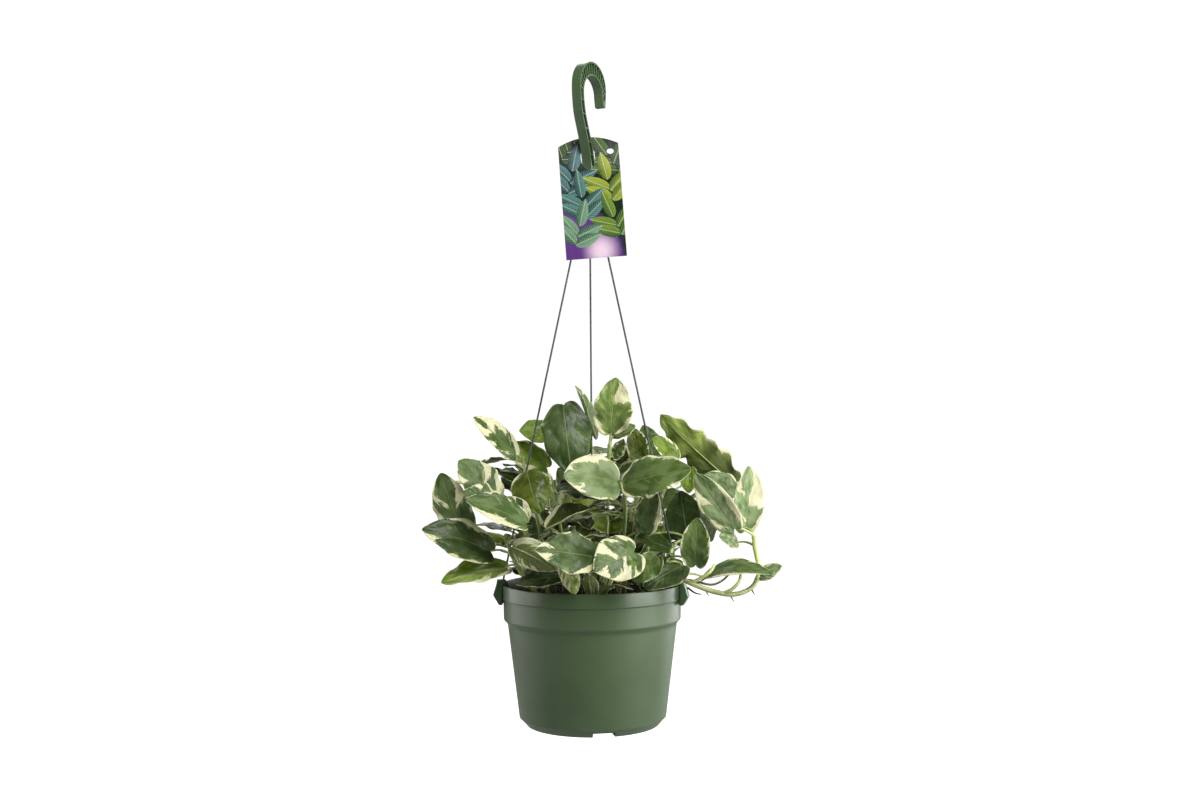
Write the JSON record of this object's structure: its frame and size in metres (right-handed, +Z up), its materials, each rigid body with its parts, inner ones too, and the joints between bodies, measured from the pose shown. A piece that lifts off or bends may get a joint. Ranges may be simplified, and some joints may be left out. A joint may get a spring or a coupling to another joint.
{
  "type": "potted variegated pothos in a hanging pot",
  "caption": "Trailing pothos with cream-edged green leaves in a green plastic pot, hung by straight strands from a moulded hook that carries a plain plant tag.",
  "frame": {"origin": "the hook's bearing point: the lowest point of the inside of its crown, where it lies on the rail or bracket that carries it; the pot's axis passes through it", "axes": "+Z up, -Y towards the front that the picture shows, +X to the viewer's right"},
  "size_m": [0.3812, 0.3149, 0.7331],
  "materials": {
    "pot_plastic": "moulded, satin dark green",
    "potting_mix": "moist peat and bark, rough dark brown",
    "hanger_plastic": "moulded, satin green",
    "strand_plastic": "drawn, satin grey-green",
    "tag_card": "printed, glossy, lilac with leaf shapes",
    "foliage": "waxy green leaf with cream patches, satin"
  },
  "bodies": {
    "root": {"pot": "pot_plastic", "soil": "potting_mix", "hook": "hanger_plastic", "clip_left": "hanger_plastic", "clip_right": "hanger_plastic", "clip_back": "hanger_plastic", "strand_left": "strand_plastic", "strand_right": "strand_plastic", "strand_back": "strand_plastic", "tag": "tag_card", "vine_01": "foliage", "vine_02": "foliage", "vine_03": "foliage", "vine_04": "foliage", "vine_05": "foliage", "vine_06": "foliage", "vine_07": "foliage", "vine_08": "foliage", "vine_09": "foliage", "vine_10": "foliage", "vine_11": "foliage", "vine_12": "foliage", "vine_13": "foliage", "vine_14": "foliage", "vine_15": "foliage", "vine_16": "foliage", "vine_17": "foliage", "vine_18": "foliage", "vine_19": "foliage", "vine_20": "foliage", "vine_21": "foliage", "vine_22": "foliage"}
  },
  "joints": []
}
